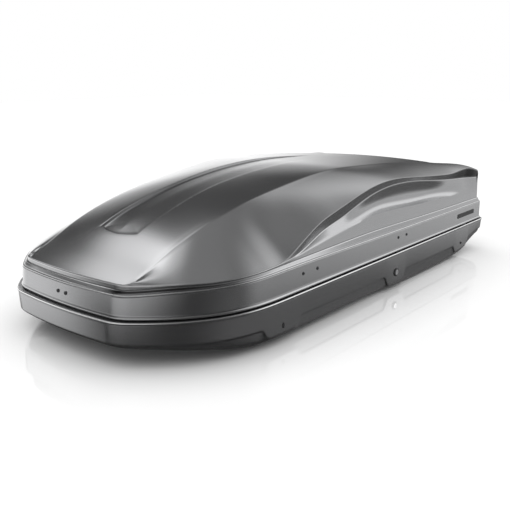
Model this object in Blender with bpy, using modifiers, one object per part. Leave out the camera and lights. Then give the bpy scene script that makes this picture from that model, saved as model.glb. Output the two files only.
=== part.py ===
"""Roof cargo box: hollow tray with roof-bar clamps, side-opening hinged lid on gas struts, key-worked lock bar.

Metres, +Z up, nose at -X, lock side at -Y, origin under the middle of the tray.
"""
import math

import bpy
import numpy as np
from mathutils import Matrix, Vector

# ---------------------------------------------------------------- main sizes
LENGTH = 1.75
DEPTH = 0.125            # rim top above the underside
NOSE_BOW, NOSE_HALF = 0.014, 0.213
WIDE_AT, HALF_MAX, HALF_REAR = 0.426, 0.4288, 0.4250
SKIN = 0.004
GAP = 0.0003
LID_LOW = 0.0045
LIP_IN, LIP_TOP = 0.024, 0.018
HINGE_Y, HINGE_Z = 0.4180, 0.0060
HINGE_X = (0.42, 0.93, 1.46)
STRUT_X = (0.52, 1.43)
STRUT_FOOT, STRUT_HEAD = (0.370, -0.050), (0.200, 0.185)
LATCH_X = (0.540, 1.067, 1.585)
KEY_X, KEY_Z = 1.019, -0.066
PODS = ((0.410, 0.062, 0.034), (1.019, 0.050, 0.036), (1.535, 0.048, 0.030))
CLAMP_X, CLAMP_Y = (0.56, 1.22), 0.215

for old in list(bpy.data.objects):
    bpy.data.objects.remove(old, do_unlink=True)
scene = bpy.context.scene
box_set = bpy.data.collections.new("roof_cargo_box")
cut_set = bpy.data.collections.new("cutters")
scene.collection.children.link(box_set)
scene.collection.children.link(cut_set)
middle = bpy.data.objects.new("middle_plane", None)      # what the shells are mirrored about
cut_set.objects.link(middle)

# ---------------------------------------------------------------- materials
PALETTE = {
    "titan_plastic": ((0.33, 0.34, 0.36), 0.0, 0.38),
    "black_plastic": ((0.03, 0.03, 0.032), 0.0, 0.55),
    "dark_rubber": ((0.02, 0.02, 0.02), 0.0, 0.85),
    "zinc_steel": ((0.55, 0.56, 0.58), 1.0, 0.35),
    "bright_chrome": ((0.80, 0.81, 0.83), 1.0, 0.12),
    "black_steel": ((0.05, 0.05, 0.055), 0.6, 0.40),
}


def material_for(obj, look):
    """One Principled material of its own for every piece."""
    colour, metal, rough = PALETTE[look]
    mat = bpy.data.materials.new(obj.name + "_" + look)
    mat.use_nodes = True
    shader = mat.node_tree.nodes["Principled BSDF"]
    shader.inputs["Base Color"].default_value = (*colour, 1.0)
    shader.inputs["Metallic"].default_value = metal
    shader.inputs["Roughness"].default_value = rough
    mat.diffuse_color = (*colour, 1.0)
    obj.data.materials.clear()
    obj.data.materials.append(mat)


# ---------------------------------------------------------------- small tools
def world(p):
    """Box coordinates (x from the nose, z from the rim top) to world ones."""
    return Vector((p[0] - LENGTH / 2, p[1], p[2] + DEPTH))


def add(name, verts, faces, group=None):
    mesh = bpy.data.meshes.new(name)
    mesh.from_pydata([world(v) for v in verts], [], faces)
    mesh.validate()
    obj = bpy.data.objects.new(name, mesh)
    (group or box_set).objects.link(obj)
    return obj


def cuboid(name, lo, hi, group=None, bevel=0.0):
    verts = [(x, y, z) for x in (lo[0], hi[0]) for y in (lo[1], hi[1]) for z in (lo[2], hi[2])]
    faces = [(0, 1, 3, 2), (4, 6, 7, 5), (0, 4, 5, 1), (2, 3, 7, 6), (0, 2, 6, 4), (1, 5, 7, 3)]
    obj = add(name, verts, faces, group)
    if bevel:
        soften(obj, bevel)
    return obj


def rod(name, a, b, radius, sides=20, group=None, radius_b=None):
    """Round bar from point a to point b, tapering if a second radius is given."""
    a, b = np.array(a, float), np.array(b, float)
    w = (b - a) / np.linalg.norm(b - a)
    u = np.cross(w, (0.0, 0.0, 1.0) if abs(w[2]) < 0.9 else (1.0, 0.0, 0.0))
    u /= np.linalg.norm(u)
    v = np.cross(w, u)
    verts = []
    for centre, r in ((a, radius), (b, radius if radius_b is None else radius_b)):
        for k in range(sides):
            t = 2 * math.pi * (k + 0.5) / sides
            verts.append(centre + r * (math.cos(t) * u + math.sin(t) * v))
    faces = [tuple(range(sides - 1, -1, -1)), tuple(range(sides, 2 * sides))]
    for k in range(sides):
        m = (k + 1) % sides
        faces.append((k, m, sides + m, sides + k))
    return add(name, verts, faces, group)


def plate(name, outline, axis, lo, hi, group=None):
    """Flat plate: a plan outline given in the two other axes, from lo to hi along axis."""
    n = len(outline)
    verts = []
    for level in (lo, hi):
        for p, q in outline:
            verts.append({"x": (level, p, q), "y": (p, level, q), "z": (p, q, level)}[axis])
    faces = [tuple(range(n)), tuple(range(2 * n - 1, n - 1, -1))]
    for k in range(n):
        m = (k + 1) % n
        faces.append((k, n + k, n + m, m))
    obj = add(name, verts, faces, group)
    turn_outward(obj)
    return obj


def turn_outward(obj):
    """Make the faces look outward, judged by the signed volume."""
    mesh = obj.data
    volume = 0.0
    for f in mesh.polygons:
        pts = [mesh.vertices[i].co for i in f.vertices]
        for k in range(1, len(pts) - 1):
            volume += pts[0].dot(pts[k].cross(pts[k + 1]))
    if volume < 0:
        mesh.flip_normals()


def soften(obj, width, segments=1, angle=50):
    mod = obj.modifiers.new("Bevel", "BEVEL")
    mod.width, mod.segments = width, segments
    mod.limit_method, mod.angle_limit = "ANGLE", math.radians(angle)
    mod.use_clamp_overlap = True


def boolean(obj, other, operation):
    mod = obj.modifiers.new(operation.title(), "BOOLEAN")
    mod.operation, mod.solver, mod.object = operation, "EXACT", other
    other.hide_render = True
    other.display_type = "WIRE"


def cut(obj, *others):
    for other in others:
        boolean(obj, other, "DIFFERENCE")


def join(obj, *others):
    for other in others:
        boolean(obj, other, "UNION")


def hang_on(obj, pivot):
    """Put the object's origin on its joint axis."""
    shift = world(pivot)
    obj.data.transform(Matrix.Translation(-shift))
    obj.location = shift


# ---------------------------------------------------------------- plan outline
def spline(*knots):
    """Natural cubic curve through a few (x, value) knots, held flat outside them."""
    xs, ys = np.array(knots, float).T
    n, h = len(xs), np.diff(xs)
    a, r = np.eye(n), np.zeros(n)
    for i in range(1, n - 1):
        a[i, i - 1:i + 2] = h[i - 1], 2 * (h[i - 1] + h[i]), h[i]
        r[i] = 6 * ((ys[i + 1] - ys[i]) / h[i] - (ys[i] - ys[i - 1]) / h[i - 1])
    m = np.linalg.solve(a, r)

    def value(x):
        x = np.clip(x, xs[0], xs[-1])
        i = np.clip(np.searchsorted(xs, x) - 1, 0, n - 2)
        p, q, s = xs[i + 1] - x, x - xs[i], h[i]
        return ((m[i] * p ** 3 + m[i + 1] * q ** 3) / (6 * s) + (ys[i] / s - m[i] * s / 6) * p
                + (ys[i + 1] / s - m[i + 1] * s / 6) * q)
    return value


def smooth(a, b, x):
    t = np.clip((x - a) / (b - a), 0, 1)
    return t * t * (3 - 2 * t)


def half_width(x):
    t = np.clip((x - NOSE_BOW) / (WIDE_AT - NOSE_BOW), 0, 1)
    front = NOSE_HALF + (HALF_MAX - NOSE_HALF) * (1 - (1 - t) ** 2.77)
    back = np.clip((x - WIDE_AT) / (LENGTH - WIDE_AT), 0, 1)
    return front - (HALF_MAX - HALF_REAR) * back ** 2


def fillet(before, after, reach):
    """Round the corner between two dense polylines, reach being measured along each."""
    def trim(path):
        run = np.r_[0, np.cumsum(np.hypot(*np.diff(path, axis=0).T))]
        keep = path[run > reach]
        tip = np.array([np.interp(reach, run, path[:, k]) for k in (0, 1)])
        return tip, np.vstack([tip, keep])
    p0, a = trim(before[::-1])
    p1, b = trim(after)
    t0, t1 = p0 - a[1], b[1] - p1
    t0, t1 = t0 / np.hypot(*t0), t1 / np.hypot(*t1)
    turn = math.acos(float(np.clip(t0 @ t1, -1, 1)))
    h = 4 / 3 * math.tan(turn / 4) / math.tan(turn / 2) * reach
    u = np.linspace(0, 1, 33)[:, None]
    arc = ((1 - u) ** 3 * p0 + 3 * u * (1 - u) ** 2 * (p0 + h * t0)
           + 3 * u * u * (1 - u) * (p1 - h * t1) + u ** 3 * p1)
    return a[::-1], arc, b


def rim_columns(nose_n, side_x, rear_n):
    """Points and inward normals of the rim's plan outline, from the nose centre round to the rear centre."""
    y = np.linspace(0, NOSE_HALF, 120)
    nose = np.c_[NOSE_BOW * (y / NOSE_HALF) ** 2, -y]
    x = np.linspace(NOSE_BOW, LENGTH, 900)
    side = np.c_[x, -half_width(x)]
    y = np.linspace(HALF_REAR, 0, 160)
    rear = np.c_[np.full(160, LENGTH), -y]
    first, arc_a, rest = fillet(nose, side, 0.032)
    middle, arc_b, last = fillet(rest, rear, 0.036)
    path = np.vstack([first[:-1], arc_a[:-1], middle[1:-1], arc_b[:-1], last])
    run = np.r_[0, np.cumsum(np.hypot(*np.diff(path, axis=0).T))]
    corner_a = run[len(first) - 1 + 16]
    corner_b = run[len(first) - 1 + 32 + len(middle) - 2 + 16]
    s = np.linspace(0, 1, nose_n + 1)[:-1]
    cols = list(corner_a * (s + 0.5 * np.sin(math.pi * s) / math.pi))
    inside = (run > corner_a) & (run < corner_b)
    xs, rs = path[inside, 0], run[inside]
    cols += [corner_a] + [float(np.interp(v, xs, rs)) for v in side_x] + [corner_b]
    s = np.linspace(0, 1, rear_n + 1)[1:]
    cols += list(corner_b + (run[-1] - corner_b) * (s - 0.75 * np.sin(math.pi * s) / math.pi))
    cols = np.array(cols)
    tang = np.gradient(path, run, axis=0)
    pts = np.c_[np.interp(cols, run, path[:, 0]), np.interp(cols, run, path[:, 1])]
    tan = np.c_[np.interp(cols, run, tang[:, 0]), np.interp(cols, run, tang[:, 1])]
    tan /= np.hypot(*tan.T)[:, None]
    normal = np.c_[-tan[:, 1], tan[:, 0]]
    normal *= np.where((normal @ np.array([0.0, 1.0]) < 0) & (np.abs(normal[:, 1]) > 1e-6), -1, 1)[:, None]
    normal[0], normal[-1] = (1, 0), (-1, 0)
    pts[0, 1] = pts[-1, 1] = 0.0
    return pts, normal


# ---------------------------------------------------------------- lid surface
skirt_top = spline((0, 0.060), (0.04, 0.0615), (0.08, 0.0655), (0.18, 0.0702), (0.30, 0.073), (0.9, 0.074),
                   (1.75, 0.076))
ledge_top = spline((0, 0.0735), (0.05, 0.0765), (0.09, 0.0805), (0.19, 0.082), (0.34, 0.083), (0.75, 0.092),
                   (1.0, 0.093), (1.37, 0.088), (1.75, 0.088))
panel_foot = spline((0.56, 0.102), (0.66, 0.115), (0.82, 0.123), (1.05, 0.117), (1.3, 0.110), (1.75, 0.106))
arch_high = spline((0.497, 0.090), (0.587, 0.138), (0.70, 0.179), (0.85, 0.216), (1.05, 0.234), (1.22, 0.225),
                   (1.42, 0.208), (1.60, 0.206), (1.68, 0.196), (1.75, 0.176))
arch_low = spline((0.497, 0.089), (0.587, 0.118), (0.70, 0.150), (0.85, 0.189), (1.06, 0.213), (1.24, 0.206),
                  (1.42, 0.189), (1.60, 0.172), (1.75, 0.158))
crease_y = spline((0.058, 0.215), (0.14, 0.2175), (0.33, 0.228), (0.6, 0.235), (0.85, 0.245), (1.75, 0.250))
crease_z = spline((0.03, 0.0635), (0.058, 0.0765), (0.102, 0.0965), (0.143, 0.1145), (0.203, 0.1435), (0.267, 0.1695),
                  (0.38, 0.2035), (0.50, 0.230),
                  (0.63, 0.2505), (0.75, 0.266), (0.88, 0.276), (1.06, 0.271), (1.20, 0.263), (1.34, 0.252),
                  (1.50, 0.2365), (1.62, 0.222), (1.75, 0.201))
crown = spline((0.03, 0.008), (0.22, 0.016), (0.46, 0.021), (0.69, 0.019), (0.83, 0.0125), (1.0, 0.009), (1.75, 0.009))
channel_y = spline((0.20, 0.079), (0.34, 0.079), (0.42, 0.075), (0.74, 0.075), (0.95, 0.068), (1.23, 0.052), (1.4, 0.047))


def roof(x, y):
    """Height of the lid's upper face without the channel."""
    return crease_z(x) + crown(x) * (1 - (y / crease_y(x)) ** 2)


def inset(pts, normal, amount):
    amount = np.broadcast_to(amount, (len(pts),))
    return pts + normal * amount[:, None]


def row(plan, z):
    return np.c_[plan, np.broadcast_to(z, (len(plan),))]


def lid_rows(pts, normal, nose_n, rear_n, skin):
    """Control rows of the lid, bottom edge first; skin > 0 gives the inside face."""
    n = len(pts)
    wall = normal[:, 0] ** 2 * (pts[:, 0] > 1.0)         # 1 on the rear wall, 0 along the sides
    x = pts[:, 0]
    nose = normal[:, 0] ** 2 * (x < 0.5)                 # 1 across the nose, where the skirt stands further in
    live = smooth(0.490, 0.56, x)                        # where the arch has left the ledge
    t = skin
    rows = []
    if not skin:
        edge = 0.008 + 0.007 * nose + 0.005 * wall
        rows += [row(inset(pts, normal, edge), LID_LOW), row(inset(pts, normal, edge), 0.0105)]
        rows += [row(inset(pts, normal, edge + 0.0035), 0.0150)]
    else:
        rows += [row(inset(pts, normal, 0.0115 + 0.007 * nose + 0.005 * wall + t), LID_LOW)]
    rows += [row(inset(pts, normal, 0.012 + 0.011 * nose + 0.005 * wall + t), skirt_top(x) - 0.6 * t)]
    foot = ledge_top(x)
    rows += [row(inset(pts, normal, 0.025 + 0.014 * nose - 0.001 * wall + t), foot - 0.6 * t)]
    step = 0.0006
    high = np.maximum(arch_high(x), foot + 3 * step) * (1 - wall) + 0.176 * wall
    low = np.maximum(arch_low(x), foot + 2 * step) * (1 - wall) + 0.148 * wall
    base = np.maximum(np.minimum(panel_foot(x), low - 0.008), foot + step) * (1 - wall) + 0.112 * wall
    rows += [row(inset(pts, normal, 0.0253 + 0.014 * nose + 0.003 * live - 0.0015 * wall + t), base - 0.4 * t)]
    rows += [row(inset(pts, normal, (0.0256 + 0.014 * nose + 0.0285 * live) * (1 - wall) + 0.0245 * wall + t),
                 low - 0.5 * t)]
    rows += [row(inset(pts, normal, (0.0259 + 0.014 * nose + 0.0185 * live) * (1 - wall) + 0.026 * wall + t),
                 high - t)]
    # crease loop: front edge of the hood, shoulder line, rear top edge
    side = slice(nose_n, n - rear_n)
    frac = (x[side] - x[side][0]) / (x[side][-1] - x[side][0])
    cx = np.empty(n)
    cy = np.empty(n)
    cx[side] = 0.058 + (1.722 - 0.058) * frac
    cy[side] = -(crease_y(cx[side]) - 0.5 * t)
    u = pts[:nose_n, 1] / pts[nose_n, 1]
    cy[:nose_n] = cy[nose_n] * u
    cx[:nose_n] = 0.046 + 0.012 * u ** 2
    u = pts[n - rear_n:, 1] / pts[n - rear_n - 1, 1]
    cy[n - rear_n:] = cy[n - rear_n - 1] * u
    cx[n - rear_n:] = 1.722
    cx = cx + t * np.r_[np.ones(nose_n), np.zeros(n - nose_n - rear_n), -np.ones(rear_n)]
    rows += [np.c_[cx, cy, roof(cx, cy) - 1.15 * t]]
    # channel loop and its floor
    for grow, drop in ((0.0, 0.0), (-0.009, 1.0), (None, 1.0)):
        hx, hy = np.empty(n), np.empty(n)
        lo_x, hi_x = (0.214, 1.36) if grow == 0.0 else ((0.224, 1.35) if grow else (0.262, 1.31))
        bend = 0.0 if grow is None else 1.0
        hx[side] = lo_x + (hi_x - lo_x) * frac
        hy[side] = -(channel_y(hx[side]) + (grow or 0.0) + 0.4 * t) * bend
        u = pts[:nose_n, 1] / pts[nose_n, 1]
        hy[:nose_n] = hy[nose_n] * u
        hx[:nose_n] = lo_x - (0.010 * (1 - u ** 2) if bend else 0.020 * (1 - u))
        u = pts[n - rear_n:, 1] / pts[n - rear_n - 1, 1]
        hy[n - rear_n:] = hy[n - rear_n - 1] * u
        hx[n - rear_n:] = hi_x + (0.006 * (1 - u ** 2) if bend else 0.020 * (1 - u))
        deep = 0.0065 * (1 - smooth(0.75, 1.28, hx)) * drop
        rows += [np.c_[hx, hy, roof(hx, hy) - deep - 1.15 * t]]
    return rows


def sweep(rows, reach, arc_n, bulge=()):
    """Refine control rows: rounds control k by reach[k] with arc_n[k] points, bows span k outward by bulge[k]."""
    out = [rows[0]]
    for k in range(1, len(rows) - 1):
        a, b, c = rows[k - 1], rows[k], rows[k + 1]
        da = np.linalg.norm(a - b, axis=1, keepdims=True) + 1e-9
        dc = np.linalg.norm(c - b, axis=1, keepdims=True) + 1e-9
        if not arc_n[k]:
            out.append(b)
            continue
        ra = np.minimum(reach[k], 0.42 * da)
        rc = np.minimum(reach[k], 0.42 * dc)
        pa, pc = b + (a - b) / da * ra, b + (c - b) / dc * rc
        for u in np.linspace(0, 1, arc_n[k] + 1):
            out.append((1 - u) ** 2 * pa + 2 * u * (1 - u) * b + u * u * pc)
    out.append(rows[-1])
    return out


def half_shell(name, rows):
    """Skin of quads over the rows on the lock side; mirrored and welded along the middle plane."""
    n = len(rows[0])
    for r in rows:
        r[0, 1] = r[-1, 1] = 0.0
    grid = np.vstack(rows)
    faces = []
    for j in range(len(rows) - 1):
        for i in range(n - 1):
            faces.append((j * n + i, j * n + i + 1, (j + 1) * n + i + 1, (j + 1) * n + i))
    obj = add(name, grid, faces)
    mod = obj.modifiers.new("Mirror", "MIRROR")
    mod.use_axis = (False, True, False)
    mod.mirror_object = middle
    mod.use_clip = True
    mod.use_mirror_merge = True
    mod.merge_threshold = 0.00005
    return obj


NOSE_N, REAR_N = 7, 8
LID_X = (0.035, 0.05, 0.075, 0.105, 0.14, 0.18, 0.23, 0.29, 0.35, 0.42, 0.485, 0.51, 0.545, 0.59, 0.65, 0.72,
         0.80, 0.88, 0.96, 1.05, 1.14, 1.23, 1.32, 1.41, 1.50, 1.57, 1.63, 1.675, 1.705, 1.722)


def make_lid():
    pts, normal = rim_columns(NOSE_N, LID_X, REAR_N)
    outer = lid_rows(pts, normal, NOSE_N, REAR_N, 0.0)
    inner = lid_rows(pts, normal, NOSE_N, REAR_N, SKIN)
    # bow the long spans: side face above the arch and the hood
    def refine(rows, first):
        k8 = first + 5
        side_mid = (rows[k8 - 1] + rows[k8]) / 2
        side_mid[:, 2] += 0.004 + 0.005 * smooth(1.5, 1.7, side_mid[:, 0])
        hood = []
        for f in (0.36, 0.7):
            m = rows[k8] * (1 - f) + rows[k8 + 1] * f
            lift = rows[k8][:, 2] - roof(rows[k8][:, 0], rows[k8][:, 1])
            m[:, 2] = roof(m[:, 0], m[:, 1]) + lift
            hood.append(m)
        return rows[:k8] + [side_mid, rows[k8]] + hood + rows[k8 + 1:]
    outer, inner = refine(outer, 3), refine(inner, 1)
    reach_o = [0, 0, 0, 0.004, 0.003, 0.006, 0.006, 0.005, 0, 0.010, 0, 0, 0.004, 0.004, 0]
    arcs_o = [0, 0, 0, 1, 0, 1, 1, 1, 0, 2, 0, 0, 0, 0, 0]
    outer = sweep(outer, reach_o, arcs_o)
    inner = sweep(inner, reach_o[2:], [0] * 13)
    return half_shell("lid_shell", inner[::-1] + outer)


# ---------------------------------------------------------------- tray surface
rim_low = spline((0, -0.061), (0.5, -0.065), (1.0, -0.068), (1.45, -0.070), (1.58, -0.062), (1.66, -0.045), (1.75, -0.038))
wall_low = spline((0, -0.070), (0.12, -0.080), (0.30, -0.098), (0.48, -0.106), (0.9, -0.107), (1.02, -0.113),
                  (1.45, -0.115), (1.58, -0.100), (1.65, -0.078), (1.75, -0.052))
floor_z = spline((0.05, -0.078), (0.15, -0.096), (0.27, -0.116), (0.34, -0.1245), (0.36, -0.125), (1.50, -0.125),
                 (1.52, -0.1245), (1.60, -0.108), (1.70, -0.070))


def pod_drop(x):
    """How far the rim's face runs on downward at the three latch points."""
    total = np.zeros_like(x)
    for centre, half, deep in PODS:
        total += deep * smooth(half + 0.014, half, np.abs(x - centre))
    return total


def tray_rows(pts, normal, skin):
    x = pts[:, 0]
    side = 1 - normal[:, 0] ** 2
    drop = pod_drop(x) * smooth(0.5, 0.9, side)
    low = rim_low(x) - drop
    bottom = np.minimum(np.minimum(wall_low(x), low - 0.006), -0.048)
    deep = np.minimum(floor_z(x), bottom - 0.004)
    deep = np.maximum(deep, -DEPTH)
    bottom = np.maximum(bottom, deep + 0.003)
    t = skin
    if not skin:
        rows = [row(inset(pts, normal, LIP_IN), LIP_TOP), row(inset(pts, normal, LIP_IN), -0.001),
                row(inset(pts, normal, 0.003), -0.0002), row(inset(pts, normal, 0.0), -0.003),
                row(inset(pts, normal, 0.0), -0.0095), row(inset(pts, normal, 0.002), -0.0115),
                row(inset(pts, normal, 0.0015), -0.015)]
    else:
        rows = [row(inset(pts, normal, LIP_IN + t), LIP_TOP), row(inset(pts, normal, LIP_IN + t), -0.001 - t),
                row(inset(pts, normal, 0.0020 + t), -0.001 - t)]
    rows += [row(inset(pts, normal, 0.0045 + t), low + t), row(inset(pts, normal, 0.014 + t), low - 0.003 + 1.2 * t)]
    rows += [row(inset(pts, normal, 0.020 + t), bottom + t), row(inset(pts, normal, 0.054 + t), deep + t)]
    # floor: straight in to the middle line
    plan = inset(pts, normal, 0.054 + t)
    for f in (0.35, 1.0):
        mid = plan.copy()
        mid[:, 1] *= 1 - f
        mid[:, 0] = plan[:, 0] + f * (np.clip(plan[:, 0], 0.14, 1.60) - plan[:, 0])
        if f == 1.0:
            k = np.arange(len(mid)) / (len(mid) - 1)
            mid[:, 0] += 0.02 * (k - 0.5)
        z = np.maximum(np.minimum(floor_z(mid[:, 0]), deep), -DEPTH)
        rows += [row(mid, z + t)]
    return rows


TRAY_X = (0.035, 0.055, 0.085, 0.125, 0.175, 0.23, 0.29, 0.333, 0.347, 0.41, 0.473, 0.487, 0.57, 0.66, 0.76,
          0.86, 0.954, 0.969, 1.019, 1.069, 1.084, 1.18, 1.28, 1.38, 1.471, 1.487, 1.535, 1.583, 1.598, 1.65,
          1.69, 1.715)


def make_tray():
    pts, normal = rim_columns(6, TRAY_X, REAR_N)
    outer, inner = tray_rows(pts, normal, 0.0), tray_rows(pts, normal, SKIN)
    outer = sweep(outer, [0, 0, 0.002, 0, 0, 0, 0, 0.006, 0.004, 0.008, 0.010, 0, 0], [0] * 7 + [1, 0, 1, 1, 0, 0])
    tray = half_shell("base_shell", inner[::-1] + outer)
    return tray


# ---------------------------------------------------------------- build
lid = make_lid()
base = make_tray()
for shell in (lid, base):
    turn_outward(shell)


def face_y(x, z):
    """Outer face of the tray's rim on the lock side."""
    low = float(rim_low(x) - pod_drop(np.array([x]))[0])
    return -(float(half_width(x)) - 0.0015 - 0.003 * (z + 0.015) / (low + 0.015))


def half_ring(name, rows):
    """Closed tube round the plan outline from rows that make its section."""
    n, m = len(rows[0]), len(rows)
    for r in rows:
        r[0, 1] = r[-1, 1] = 0.0
    faces = [(j * n + i, j * n + i + 1, (j + 1) % m * n + i + 1, (j + 1) % m * n + i)
             for j in range(m) for i in range(n - 1)]
    obj = add(name, np.vstack(rows), faces)
    mod = obj.modifiers.new("Mirror", "MIRROR")
    mod.use_axis = (False, True, False)
    mod.mirror_object = middle
    mod.use_clip = True
    mod.merge_threshold = 0.00005
    turn_outward(obj)
    return obj


def make_seal():
    pts, normal = rim_columns(5, TRAY_X[::2], 6)
    section = ((0.0245, 0.0183), (0.0285, 0.0183), (0.0285, 0.0228), (0.0265, 0.0243), (0.0245, 0.0228))
    return half_ring("lid_seal", [row(inset(pts, normal, d), z) for d, z in section])


# ---------------------------------------------------------------- hinges on the far side
def make_hinge(index, x):
    inner = float(half_width(x)) - 0.016 - 0.0006
    leaf = cuboid(f"hinge_{index}_base_leaf", (x - 0.030, 0.4060, GAP), (x + 0.030, 0.4215, 0.0022))
    for side in (-1, 1):
        a, b = sorted((x + side * 0.0105, x + side * 0.030))
        knuckle = rod("knuckle", (a, HINGE_Y, HINGE_Z), (b, HINGE_Y, HINGE_Z), 0.0045, 20, cut_set)
        join(leaf, knuckle)
    cut(leaf, cuboid("leaf_notch", (x - 0.0105, 0.4120, -0.01), (x + 0.0105, 0.4300, 0.0115), cut_set))
    bore = rod("hinge_bore", (x - 0.040, HINGE_Y, HINGE_Z), (x + 0.040, HINGE_Y, HINGE_Z), 0.00206, 20, cut_set)
    cut(leaf, bore)
    pin = rod(f"hinge_{index}_pin", (x - 0.0310, HINGE_Y, HINGE_Z), (x + 0.0310, HINGE_Y, HINGE_Z), 0.0020, 20)
    upper = cuboid(f"hinge_{index}_lid_leaf", (x - 0.020, inner - 0.002, 0.0050), (x + 0.020, inner, 0.0500))
    join(upper, cuboid("leaf_web", (x - 0.010, inner - 0.0015, 0.0030), (x + 0.010, HINGE_Y, 0.0085), cut_set))
    join(upper, rod("lid_knuckle", (x - 0.010, HINGE_Y, HINGE_Z), (x + 0.010, HINGE_Y, HINGE_Z), 0.0045, 20, cut_set))
    cut(upper, bore)
    cut(lid, cuboid("skirt_notch", (x - 0.033, 0.4000, 0.0), (x + 0.033, 0.4400, 0.0145), cut_set))
    material_for(leaf, "zinc_steel")
    material_for(pin, "black_steel")
    material_for(upper, "zinc_steel")
    lid_pieces.append(upper)


# ---------------------------------------------------------------- latches and lock on the near side
LATCH_Y = -0.4080
BAR_Z = (-0.0560, -0.0450)
KEY_THROW = math.radians(45)
KEY_ARM = 0.0140


def make_latch(index, x, spread):
    """Striker plate hanging from the lid's skirt through a slot in the rim, and the bar's hook that catches it."""
    w = 0.017
    shape = [(x - 0.045, 0.020), (x - w, 0.016), (x - w, -0.018), (x + 0.004, -0.018), (x + 0.004, -0.034),
             (x - 0.0125, -0.034), (x - 0.0125, -0.043), (x + w, -0.043), (x + w, 0.016), (x + 0.045, 0.020),
             (x + 0.045, 0.057), (x - 0.045, 0.057)]
    striker = plate(f"striker_{index}", shape, "y", LATCH_Y - 0.00125, LATCH_Y + 0.00125)
    for side in spread:
        sx, sz = x + side, 0.0475
        skin_y = -(float(half_width(sx)) - 0.0118)
        name = f"skirt_screw_{index}{'a' if side < 0 else 'b'}"
        screw = rod(name, (sx, skin_y - 0.0018, sz), (sx, skin_y - GAP, sz), 0.0042, 16, None, 0.0052)
        join(screw, rod("shank", (sx, skin_y - 0.0010, sz), (sx, -0.4055, sz), 0.0020, 12, cut_set))
        hole = rod("screw_hole", (sx, -0.4400, sz), (sx, -0.4000, sz), 0.0024, 12, cut_set)
        cut(lid, hole)
        cut(striker, hole)
        material_for(screw, "black_steel")
        lid_pieces.append(screw)
    cut(base, cuboid("striker_slot", (x - 0.021, -0.4122, -0.012), (x + 0.021, -0.4054, 0.004), cut_set))
    nose = [(x - 0.047, BAR_Z[1] + GAP), (x - 0.033, BAR_Z[1] + GAP), (x - 0.033, -0.030), (x - 0.019, -0.030),
            (x - 0.019, -0.024), (x - 0.022, -0.022), (x - 0.047, -0.022)]
    hook = plate(f"latch_hook_{index}", nose, "y", LATCH_Y - 0.0020, LATCH_Y + 0.0020)
    hang_on(hook, (x, LATCH_Y, BAR_Z[1]))
    material_for(striker, "zinc_steel")
    material_for(hook, "zinc_steel")
    lid_pieces.append(striker)


def make_lock():
    bar = cuboid("lock_bar", (0.480, LATCH_Y - 0.0025, BAR_Z[0]), (1.566, LATCH_Y + 0.0025, BAR_Z[1]))
    hang_on(bar, (KEY_X, LATCH_Y, sum(BAR_Z) / 2))
    pin_x, pin_z = KEY_X - KEY_ARM * math.sin(KEY_THROW), KEY_Z + KEY_ARM * math.cos(KEY_THROW)
    fork = [(pin_x - 0.012, BAR_Z[0]), (pin_x - 0.0034, BAR_Z[0]), (pin_x - 0.0034, -0.0470),
            (pin_x + 0.0034, -0.0470), (pin_x + 0.0034, BAR_Z[0]), (pin_x + 0.012, BAR_Z[0]),
            (pin_x + 0.012, -0.0340), (pin_x - 0.012, -0.0340)]
    driver = plate("lock_driver", fork, "y", LATCH_Y + 0.0025 + GAP, LATCH_Y + 0.0055)
    hang_on(driver, (KEY_X, LATCH_Y, sum(BAR_Z) / 2))
    y = face_y(KEY_X, KEY_Z)
    bezel = rod("lock_surround", (KEY_X, y - 0.0030, KEY_Z), (KEY_X, y - 0.0006, KEY_Z), 0.0125, 28, None, 0.0145)
    hole = rod("barrel_hole", (KEY_X, -0.4600, KEY_Z), (KEY_X, -0.4150, KEY_Z), 0.0094, 28, cut_set)
    cut(bezel, hole)
    cut(base, hole)
    barrel = rod("lock_barrel", (KEY_X, y - 0.0034, KEY_Z), (KEY_X, -0.4130, KEY_Z), 0.0090, 28)
    join(barrel, rod("spindle", (KEY_X, -0.4140, KEY_Z), (KEY_X, -0.4020, KEY_Z), 0.0040, 16, cut_set))
    cut(barrel, cuboid("key_slot", (KEY_X - 0.0008, y - 0.0100, KEY_Z - 0.0042),
                       (KEY_X + 0.0008, y + 0.0040, KEY_Z + 0.0042), cut_set))
    u = np.array([pin_x - KEY_X, pin_z - KEY_Z]) / KEY_ARM
    v = np.array([-u[1], u[0]]) * 0.0055
    c, p = np.array([KEY_X, KEY_Z]), np.array([pin_x, pin_z])
    arm = [tuple(q) for q in (c - v - 0.004 * u, p - v * 0.75 + 0.003 * u, p + v * 0.75 + 0.003 * u, c + v - 0.004 * u)]
    cam = plate("lock_cam", arm, "y", -0.4017, -0.3987)
    join(cam, rod("cam_pin", (pin_x, -0.4050, pin_z), (pin_x, -0.4000, pin_z), 0.0022, 14, cut_set))
    hang_on(barrel, (KEY_X, y, KEY_Z))
    hang_on(cam, (KEY_X, y, KEY_Z))
    for obj, look in ((bar, "zinc_steel"), (driver, "zinc_steel"), (bezel, "black_plastic"),
                      (barrel, "bright_chrome"), (cam, "zinc_steel")):
        material_for(obj, look)
    for index, x in enumerate((0.78, 1.34), 1):
        outer = -(float(half_width(x)) - 0.0085 - 0.0008)
        guide = cuboid(f"bar_guide_{index}", (x - 0.011, outer, -0.0590), (x + 0.011, -0.4030, -0.0410))
        cut(guide, cuboid("guide_way", (x - 0.02, LATCH_Y - 0.0031, BAR_Z[0] - 0.0006),
                          (x + 0.02, LATCH_Y + 0.0031, BAR_Z[1] + 0.0006), cut_set))
        material_for(guide, "black_plastic")


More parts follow.
